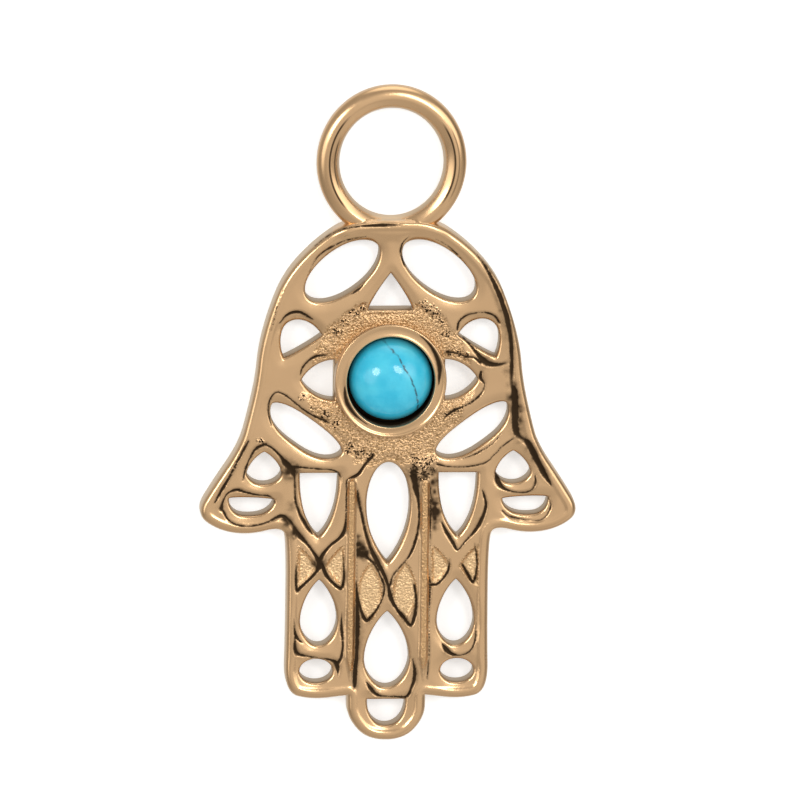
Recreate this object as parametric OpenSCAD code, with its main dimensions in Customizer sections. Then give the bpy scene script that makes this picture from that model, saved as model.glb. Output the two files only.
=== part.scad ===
// A hamsa pendant that lies on its flat back: a cast and pierced hand with a raised border, raised rims,
// sunk leaf panels, a round setting and a bail ring, and a smooth round cabochon in the setting.
// Millimetres. X runs across the hand, Y from the fingertips to the bail ring and Z up from the back.
// The origin lies under the middle of the whole pendant.

/* [Hand] */
// Length of the hand from its top edge to the middle fingertip
hand_l = 25; // [20:0.5:40]
// Width of the hand over the two thumb tips
hand_w = 17.9; // [14:0.1:30]
// Thickness of the casting at its ground, beside the raised work
plate_t = 1.05; // [0.8:0.05:2]

/* [Relief] */
// Width of the raised border along the edge of the hand
border_w = 0.65; // [0.4:0.05:0.9]
// Height of the border over the ground
border_rise = 0.25; // [0.1:0.05:0.5]
// Width of the raised rim round each opening and each leaf panel
rim_w = 0.35; // [0.15:0.05:0.5]
// Height of the rims over the ground
rim_rise = 0.2; // [0.05:0.05:0.45]
// Depth of the leaf panels below the ground
panel_depth = 0.25; // [0.1:0.05:0.5]
// Width of each round ridge between the fingers
ridge_w = 0.5; // [0.3:0.05:0.8]
// Height of the ridges over the ground
ridge_rise = 0.3; // [0.15:0.05:0.5]

/* [Setting and stone] */
// Diameter of the cabochon
stone_d = 4; // [3:0.1:5]
// Height of the straight edge of the cabochon, below its dome
stone_edge_h = 0.9; // [0.4:0.05:1.5]
// Height of the dome of the cabochon
dome_h = 1.2; // [0.5:0.05:1.4]
// Gap between the cabochon and the setting, all round and below
stone_gap = 0.1; // [0.05:0.01:0.2]
// Wall of the setting round the cabochon
setting_wall = 0.55; // [0.3:0.05:0.9]
// Height of the setting over the ground
setting_rise = 0.85; // [0.4:0.05:1.5]
// Metal left under the cabochon
seat_floor = 0.4; // [0.3:0.05:0.7]

/* [Bail ring] */
// Diameter of the hole of the bail ring
ring_hole_d = 5.1; // [3.5:0.1:7]
// Diameter of the round wire of the bail ring
ring_wire_d = 1.1; // [0.8:0.05:1.6]
// Length of the straight band inside the hole
ring_land = 0.4; // [0.2:0.05:0.6]
// Height of the wire's underside above the back of the hand
ring_lift = 0.08; // [0.05:0.01:0.2]
// How far the ring dips behind the top edge of the hand
ring_bite = 0.55; // [0.4:0.05:1]
// Width of the web that joins the ring to the top edge
neck_w = 4.7; // [3:0.1:6]
// Height of that web above the top edge
neck_h = 0.4; // [0.2:0.05:0.8]
// Thickness of that web as a share of the wire of the ring
neck_share = 0.75; // [0.4:0.05:0.9]

/* [Smoothness] */
// Steps in each rounded corner of an outline
corner_steps = 6; // [3:1:10]
// Steps in each half of the outline of an opening
blade_steps = 7; // [4:1:10]

/* [Hidden] */
$fn = 64;

// The hand is drawn once, in hundredths of its own length, from the middle of the stone.
// These shares are its length, its width over the thumbs, and how far its top edge lies above the stone.
length_share = 100;
width_share = 71.6;
top_share = 30.2;

scale_x = hand_w / width_share;
scale_y = hand_l / length_share;

// The right half of the outline, from the top centre down to the middle fingertip.
// Columns: x, y, and whether the point is a sharp corner (1) or is rounded off (0).
hand_shares = [
    [0, 30.2, 0],
    [8.3, 30.2, 0],
    [14.9, 26.6, 0],
    [20.2, 20.3, 0],
    [23.1, 13, 0],
    [24.9, 6, 0],
    [25.4, 0, 0],
    [26.9, -7, 0],
    [28.5, -13, 0],
    [33.2, -20, 0],
    [36.8, -26, 0],
    [32.6, -29.3, 0],
    [26.5, -30.2, 0],
    [20.2, -28.6, 0],
    [19.2, -31.5, 0],
    [19.2, -50, 0],
    [19.3, -60.4, 0],
    [14, -62.1, 0],
    [7.5, -61.2, 1],
    [7.4, -65.3, 0],
    [3.1, -69.8, 0]
];

// Every opening and leaf panel is one blade: a long shape that is widest at its belly.
// x and y place its middle, tilt turns it, lean pushes its width to one side (0 to 1), and belly says how
// far along the widest place lies (0 to 1). full is how soon it fills out, and start and end are the forms
// of its two ends: 0.5 is round and 1 is pointed. A belly at 0 or 1 cuts that end off flat.
// Columns: x, y, length, width, tilt, lean, belly, full, start, end.
middle_opening_shares = [
    // crown triangle
    [0, 17.1, 7.1, 8.5, -90, 0, 1, 1.25, 1, 1],
    // palm arch
    [0, -25.95, 19.6, 8.3, -90, 0, 0.42, 2, 0.5, 0.9],
    // middle finger drop
    [0, -52.6, 14.8, 8.6, -90, 0, 0.62, 1.8, 0.85, 0.5],
    // middle fingertip
    [0, -64.9, 5.1, 7.3, -90, 0, 0, 2.4, 0.5, 0.5]
];
side_opening_shares = [
    // top leaf
    [9.2, 21.1, 16.6, 8.4, -37, 0, 0.5, 2.1, 0.55, 0.5],
    // upper side
    [16.6, 6.5, 8.4, 5.6, -31, 0.9, 0.5, 2.1, 0.55, 0.7],
    // beside the setting
    [13.7, -0.1, 6.2, 7.8, 0, 0, 0, 2, 0, 0.8],
    // lower leaf
    [15.7, -9.5, 16.4, 5.7, 36, -0.35, 0.5, 2.7, 0.55, 0.6],
    // thumb, upper
    [23.75, -17.2, 6.3, 6.6, -90, 0, 0.65, 1.6, 0.8, 0.5],
    // thumb, lower
    [26.1, -23.2, 8.6, 3.5, 2, -0.85, 0.6, 2.4, 0.5, 0.5],
    // finger arch
    [13.25, -24.4, 12.3, 7.3, -90, 0, 0, 2.5, 0, 0.8],
    // finger drop
    [13.05, -45.4, 12.8, 7.1, -90, 0, 0.62, 1.8, 0.85, 0.5],
    // fingertip oval
    [13.45, -56.75, 6.3, 4.6, 0, 0, 0.5, 2, 0.5, 0.5]
];
side_panel_shares = [
    // outer finger, outside and inside
    [15.4, -36.3, 4, 8.4, 180, 0, 0, 1.5, 0, 0.9],
    [10.2, -36.3, 4, 8.6, 0, 0, 0, 1.5, 0, 0.9],
    // middle finger
    [3.3, -41.3, 12.2, 5, -90, 0, 0.5, 2, 0.9, 0.9]
];

// Columns of the ridge between two fingers: x, top end, bottom end.
ridge_shares = [7, -20, -58.5];

hand_top_y = top_share * scale_y;
hand_tip_y = hand_top_y - hand_l;

ridge_x = ridge_shares[0] * scale_x;
ridge_end_y = ridge_shares[2] * scale_y;
ridge_l = ridge_shares[1] * scale_y - ridge_end_y;
ridge_z = plate_t + ridge_rise - ridge_w / 2;

ring_hole_r = ring_hole_d / 2;
ring_wire_r = ring_wire_d / 2;
ring_centre_r = ring_hole_r + sqrt(pow(ring_wire_r, 2) - pow(ring_land / 2, 2));
ring_outer_r = ring_centre_r + ring_wire_r;
ring_y = hand_top_y + ring_outer_r - ring_bite;
ring_z = ring_lift + ring_wire_r;

overall_l = ring_y + ring_outer_r - hand_tip_y;
stone_y = overall_l / 2 - ring_y - ring_outer_r;

seat_r = stone_d / 2 + stone_gap;
setting_r = seat_r + setting_wall;
setting_top = plate_t + setting_rise;
dome_r = (pow(stone_d / 2, 2) + pow(dome_h, 2)) / (2 * dome_h);

neck_t = ring_wire_d * neck_share;

function xy(p) = [p[0], p[1]];

// A point of the drawing, in millimetres.
function placed(p) = [p[0] * scale_x, p[1] * scale_y];

function reversed(list) = [for (i = [len(list) - 1:-1:0]) list[i]];

// The other half of an outline, without the points that both halves share.
function mirrored(points) =
    [for (p = reversed(points))
        if (p[0] != 0)
            [-p[0], p[1], p[2]]];

// The whole outline's control points, in millimetres, each with its corner mark.
hand_points =
    [for (p = concat(hand_shares, mirrored(hand_shares)))
        [p[0] * scale_x, p[1] * scale_y, p[2]]];

function unit(v) = v / norm(v);

function left_of(v) = [-v[1], v[0]];

// The control points before and after number i of a closed outline.
function before(points, i) = xy(points[(i + len(points) - 1) % len(points)]);

function after(points, i) = xy(points[(i + 1) % len(points)]);

// A control point moved inwards so that both edges that meet there shift by distance d.
function inset_point(a, here, b, d) =
    let (
        n1 = left_of(unit(here - a)),
        n2 = left_of(unit(b - here)),
        m = n1 + n2
    )
    here - m * d / (m * n1);

function inset(points, d) =
    [for (i = [0:len(points) - 1])
        let (q = inset_point(before(points, i), xy(points[i]), after(points, i), d))
        [q[0], q[1], points[i][2]]];

// The rounding of one corner, from the middle of the edge before it to the middle of the edge after it.
function rounding(a, here, b) =
    [for (k = [0:corner_steps - 1])
        let (t = k / corner_steps)
        (1 - t) * (1 - t) * (a + here) / 2 + 2 * t * (1 - t) * here + t * t * (here + b) / 2];

// A closed outline that is drawn towards its control points and passes through the sharp ones.
function soft(points) =
    [for (i = [0:len(points) - 1])
        each points[i][2] == 1
            ? [xy(points[i])]
            : rounding(before(points, i), xy(points[i]), after(points, i))];

// How wide a blade is at each step along one of its halves, as pairs of place and share of the width.
function blade_half(from, to, full, end) =
    [for (k = [0:blade_steps])
        let (s = sin(90 * k / blade_steps))
        [from + (to - from) * s, pow(1 - pow(s, full), end)]];

function turned(p, angle) =
    [p[0] * cos(angle) - p[1] * sin(angle), p[0] * sin(angle) + p[1] * cos(angle)];

// The outline of a blade, grown on all sides by the given number of millimetres.
function blade(row, grow) =
    let (
        length = row[2] + 2 * grow / scale_y,
        width = row[3] + 2 * grow / scale_y,
        first = row[6] > 0 ? reversed(blade_half(row[6], 0, row[7], row[8])) : [[0, 1]],
        last = row[6] < 1 ? blade_half(row[6], 1, row[7], row[9]) : [[1, 1]],
        along = concat(first, [for (i = [1:len(last) - 1]) last[i]]),
        upper = [for (p = along) [(p[0] - 0.5) * length, p[1] * width / 2 * (1 + row[5])]],
        lower = [for (p = along) if (p[1] > 0) [(p[0] - 0.5) * length, -p[1] * width / 2 * (1 - row[5])]]
    )
    [for (p = concat(upper, reversed(lower)))
        placed(xy(row) + turned(p, row[4]))];

module blades(middle, sides, grow) {
    for (row = middle)
        polygon(blade(row, grow));
    for (row = sides)
        for (turn = [0, 1])
            mirror([turn, 0])
                polygon(blade(row, grow));
}

module hand_outline(d) {
    polygon(soft(inset(hand_points, d)));
}

module openings(grow = 0) {
    blades(middle_opening_shares, side_opening_shares, grow);
}

module panels(grow = 0) {
    blades([], side_panel_shares, grow);
}

module border() {
    difference() {
        hand_outline(0);
        hand_outline(border_w);
    }
}

module rims() {
    intersection() {
        hand_outline(border_w);
        union() {
            openings(rim_w);
            panels(rim_w);
        }
    }
}

module pierced_plate() {
    linear_extrude(plate_t)
        difference() {
            hand_outline(0);
            openings();
        }
    translate([0, 0, plate_t]) {
        linear_extrude(border_rise)
            difference() {
                border();
                openings();
                panels();
            }
        linear_extrude(rim_rise)
            difference() {
                rims();
                openings();
                panels();
            }
    }
}

module ridges() {
    for (side = [-1, 1])
        translate([side * ridge_x, ridge_end_y, ridge_z])
            rotate([-90, 0, 0])
                cylinder(d = ridge_w, h = ridge_l);
}

module bail_ring() {
    translate([0, ring_y, ring_z])
        rotate_extrude()
            intersection() {
                translate([ring_centre_r, 0])
                    circle(ring_wire_r);
                translate([ring_hole_r, -ring_wire_d])
                    square(2 * ring_wire_d);
            }
    difference() {
        translate([-neck_w / 2, hand_top_y - ring_bite, ring_z - neck_t / 2])
            cube([neck_w, ring_bite + neck_h, neck_t]);
        translate([0, ring_y, 0])
            cylinder(r = ring_hole_r, h = plate_t + ring_wire_d);
    }
}

module hamsa_casting() {
    color("goldenrod")
        translate([0, stone_y, 0])
            difference() {
                union() {
                    pierced_plate();
                    ridges();
                    bail_ring();
                    cylinder(r = setting_r, h = setting_top);
                }
                translate([0, 0, plate_t - panel_depth])
                    linear_extrude(panel_depth + border_rise)
                        panels();
                translate([0, 0, seat_floor])
                    cylinder(r = seat_r, h = setting_top);
            }
}

module turquoise_stone() {
    color("mediumturquoise")
        translate([0, stone_y, seat_floor + stone_gap])
            rotate_extrude()
                union() {
                    square([stone_d / 2, stone_edge_h]);
                    intersection() {
                        translate([0, stone_edge_h + dome_h - dome_r])
                            circle(dome_r);
                        translate([0, stone_edge_h])
                            square([stone_d / 2, dome_h]);
                    }
                }
}

hamsa_casting();
turquoise_stone();
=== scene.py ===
# %% [markdown]
# # A hamsa pendant, cast in gold-coloured metal
#
# The real pendant is one small casting, 32 mm long, with a turquoise cabochon held in its palm. It was
# carved in wax, cast, polished, and darkened in its grooves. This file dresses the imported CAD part: it
# makes a softer, finer casting and stone in the same places, gives them their finish, and lights them
# as a jeweller's table is lit. Blender works in metres here, and the carving is thought out in
# millimetres, so one constant turns the one into the other.

# %% The frame and the sizes that everything follows
import math

import bpy
import numpy as np
from mathutils import Matrix, Vector
from mathutils.geometry import delaunay_2d_cdt


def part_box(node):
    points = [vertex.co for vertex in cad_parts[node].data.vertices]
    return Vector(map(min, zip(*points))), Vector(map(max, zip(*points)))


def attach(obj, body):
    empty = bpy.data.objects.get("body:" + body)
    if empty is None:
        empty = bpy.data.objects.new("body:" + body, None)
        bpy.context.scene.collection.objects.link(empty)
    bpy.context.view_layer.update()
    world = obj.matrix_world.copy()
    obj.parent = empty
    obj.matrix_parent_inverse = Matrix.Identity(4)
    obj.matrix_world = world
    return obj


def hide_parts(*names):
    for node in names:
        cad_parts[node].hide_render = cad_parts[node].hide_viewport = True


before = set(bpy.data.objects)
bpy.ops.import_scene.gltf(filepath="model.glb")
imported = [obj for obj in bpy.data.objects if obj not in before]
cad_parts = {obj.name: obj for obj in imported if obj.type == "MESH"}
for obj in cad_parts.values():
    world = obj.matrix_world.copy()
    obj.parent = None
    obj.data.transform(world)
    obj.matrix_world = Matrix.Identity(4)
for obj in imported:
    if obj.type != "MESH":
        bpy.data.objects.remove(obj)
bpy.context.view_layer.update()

MM = 0.001
casting_low, casting_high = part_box("hamsa_casting")
stone_low, stone_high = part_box("turquoise_stone")
stone_y = (stone_low.y + stone_high.y) / 2 / MM
drawing_unit = (stone_y - casting_low.y / MM) / 69.8
ring_top_y = casting_high.y / MM
print("stone centre at y", round(stone_y, 3), "mm; one unit of the drawing is", round(drawing_unit, 4), "mm")

# %% [markdown]
# ## The drawing
#
# The hand is drawn as the CAD part draws it: in hundredths of the hand's length, from the middle of the
# stone. The outline is a short list of handles that a smooth line is pulled towards, and each opening is
# one row of a table. A jeweller would trace such a drawing onto wax. Tables are used because every ring,
# rim and groove below has to follow the same lines.

# %% The outline of the hand, right half, from the top centre to the middle fingertip
# Columns: x, y, sharp corner
hand_handles = [
    (0, 31.1, 0), (8.0, 31.0, 0), (14.5, 26.6, 0), (20.2, 20.3, 0), (23.1, 13, 0), (24.9, 6, 0),
    (25.4, 0, 0), (26.9, -7, 0), (28.5, -13, 0), (33.2, -20, 0), (36.8, -26, 0), (32.4, -29.3, 0),
    (26.5, -30.2, 0), (20.2, -28.6, 0), (19.2, -31.5, 0), (19.2, -50, 0), (19.5, -61.0, 0),
    (14.2, -62.4, 0), (7.5, -61.6, 1), (7.4, -65.9, 0), (3.6, -70.3, 0),
]

# %% The openings and the leaf panels
# Columns: name, x, y, length, width, tilt, lean, belly, full, start, end
middle_openings = [
    ("crown_triangle", 0, 17.1, 7.1, 8.5, -90, 0, 1, 1.25, 1, 1),
    ("palm_arch", 0, -25.95, 19.6, 8.3, -90, 0, 0.42, 2, 0.5, 0.9),
    ("middle_drop", 0, -52.6, 14.8, 8.6, -90, 0, 0.62, 1.8, 0.85, 0.5),
    ("middle_tip", 0, -64.9, 5.1, 7.3, -90, 0, 0, 2.4, 0.5, 0.5),
]
side_openings = [
    ("top_leaf", 9.2, 21.1, 16.6, 8.4, -37, 0, 0.5, 2.1, 0.55, 0.5),
    ("upper_side", 16.6, 6.5, 8.4, 5.6, -31, 0.9, 0.5, 2.1, 0.55, 0.7),
    ("beside_stone", 13.7, -0.1, 6.2, 7.8, 0, 0, 0, 2, 0, 0.8),
    ("lower_leaf", 15.7, -9.5, 16.4, 5.7, 36, -0.35, 0.5, 2.7, 0.55, 0.6),
    ("thumb_upper", 23.75, -17.2, 6.3, 6.6, -90, 0, 0.65, 1.6, 0.8, 0.5),
    ("thumb_lower", 26.1, -23.2, 8.6, 3.5, 2, -0.85, 0.6, 2.4, 0.5, 0.5),
    ("finger_arch", 13.25, -24.4, 12.3, 7.3, -90, 0, 0, 2.5, 0, 0.8),
    ("finger_drop", 13.05, -45.4, 12.8, 7.1, -90, 0, 0.62, 1.8, 0.85, 0.5),
    ("finger_tip", 13.45, -56.75, 6.3, 4.6, 0, 0, 0.5, 2, 0.5, 0.5),
]
side_panels = [
    ("panel_outer", 15.4, -36.3, 4, 8.4, 180, 0, 0, 1.5, 0, 0.9),
    ("panel_inner", 10.2, -36.3, 4, 8.6, 0, 0, 0, 1.5, 0, 0.9),
    ("panel_middle", 3.3, -41.3, 12.2, 5, -90, 0, 0.5, 2, 0.9, 0.9),
]
ridge_x, ridge_top, ridge_end = 7, -20, -58.5


# %% From the drawing to closed lines, in millimetres from the stone's centre
def rounded_line(handles, steps=12):
    """A closed line that is pulled towards its handles and passes through the sharp ones."""
    line = []
    for i, (x, y, sharp) in enumerate(handles):
        here = np.array((x, y), float)
        before = np.array(handles[i - 1][:2], float)
        after = np.array(handles[(i + 1) % len(handles)][:2], float)
        if sharp:
            line.append(here)
            continue
        for k in range(steps):
            t = k / steps
            pulled = (1 - t) ** 2 * (before + here) / 2 + 2 * t * (1 - t) * here
            line.append(pulled + t * t * (here + after) / 2)
    return np.array(line) * drawing_unit


def blade_line(row, side=1, steps=16):
    """The closed line of one opening or panel: widest at its belly, round or pointed at its ends."""
    _, x, y, length, width, tilt, lean, belly, full, start, end = row

    def half(towards, shape):
        s = np.sin(np.radians(90 * np.arange(steps + 1) / steps))
        return list(zip(belly + (towards - belly) * s, np.maximum(1 - s**full, 0) ** shape))

    first = half(0, start)[::-1] if belly > 0 else [(0.0, 1.0)]
    last = half(1, end) if belly < 1 else [(1.0, 1.0)]
    along = first + last[1:]
    upper = [((a - 0.5) * length, w * width / 2 * (1 + lean)) for a, w in along]
    lower = [((a - 0.5) * length, -w * width / 2 * (1 - lean)) for a, w in along if w > 1e-9]
    line = np.array(upper + lower[::-1])
    turn = math.radians(tilt)
    turned = line @ np.array(((math.cos(turn), math.sin(turn)), (-math.sin(turn), math.cos(turn))))
    placed = (turned + (x, y)) * (side, 1)
    return placed * drawing_unit


def anticlockwise(line):
    """The same closed line, turned round if it runs clockwise."""
    x, y = line.T
    area = (x * np.roll(y, -1) - np.roll(x, -1) * y).sum() / 2
    return line if area > 0 else line[::-1]


# %% The lines of the whole hand, left and right
sides = ((1, "right"), (-1, "left"))
left_handles = [(-x, y, sharp) for x, y, sharp in reversed(hand_handles) if x]
hand_line = anticlockwise(rounded_line(hand_handles + left_handles))
opening_lines = {row[0]: anticlockwise(blade_line(row)) for row in middle_openings}
panel_lines = {}
for side, word in sides:
    for row in side_openings:
        opening_lines[f"{row[0]}_{word}"] = anticlockwise(blade_line(row, side))
    for row in side_panels:
        panel_lines[f"{row[0]}_{word}"] = anticlockwise(blade_line(row, side))

ridge_half, ridge_crown, ridge_taper = 0.215, 0.2, 1.1
half_turn = np.radians(np.arange(0, 181, 20))
ridge_lines = {}
for side, word in sides:
    x, top, end = side * ridge_x * drawing_unit, ridge_top * drawing_unit, ridge_end * drawing_unit
    crown = [(x + ridge_half * math.cos(a), top + ridge_crown * math.sin(a)) for a in half_turn]
    point = [(x - ridge_half, end + ridge_taper), (x, end), (x + ridge_half, end + ridge_taper)]
    ridge_lines[f"ridge_{word}"] = anticlockwise(np.array(crown + point))
print(len(opening_lines), "openings,", len(panel_lines), "leaf panels and", len(ridge_lines), "ridges drawn")

# %% [markdown]
# ## The carving, as a height for every point
#
# The face of the real hand flows: the metal between the openings is a soft pillow, some openings have a
# scooped lip, two ridges stand between the fingers, and the ground round the stone is stippled. Boxes and
# bevels would give it flat steps. So the face is carved by a rule instead: for any point, how far it lies
# from each line says how high the metal is there. The first table gives how the metal falls towards each
# opening. The second holds the creases, as a graver would cut them, each with the patina left in it.

# %% How the metal falls towards each opening, in millimetres
# Columns: lip width below, lip dip below, lip width above, lip dip above
lips = {
    "crown_triangle": (0.25, 0.00, 0.20, 0.00),
    "palm_arch": (0.45, 0.03, 0.30, 0.00),
    "middle_drop": (0.50, 0.03, 0.25, 0.00),
    "middle_tip": (0.30, 0.02, 0.20, 0.00),
    "top_leaf": (0.30, 0.01, 0.25, 0.05),
    "upper_side": (0.25, 0.01, 0.40, 0.14),
    "beside_stone": (0.34, 0.04, 0.20, 0.03),
    "lower_leaf": (0.30, 0.02, 0.24, 0.04),
    "thumb_upper": (0.40, 0.02, 0.18, 0.03),
    "thumb_lower": (0.36, 0.02, 0.22, 0.05),
    "finger_arch": (0.40, 0.02, 0.20, 0.04),
    "finger_drop": (0.50, 0.03, 0.22, 0.00),
    "finger_tip": (0.30, 0.02, 0.20, 0.00),
}
ground, pillow = 1.13, 0.06
crease_depth = 0.06
border_width, border_rise, foot_rise = 0.46, 0.05, 0.11
panel_floor = 0.13
ridge_rise = 0.13
opening_roll, outline_roll = 0.13, 0.24

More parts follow.
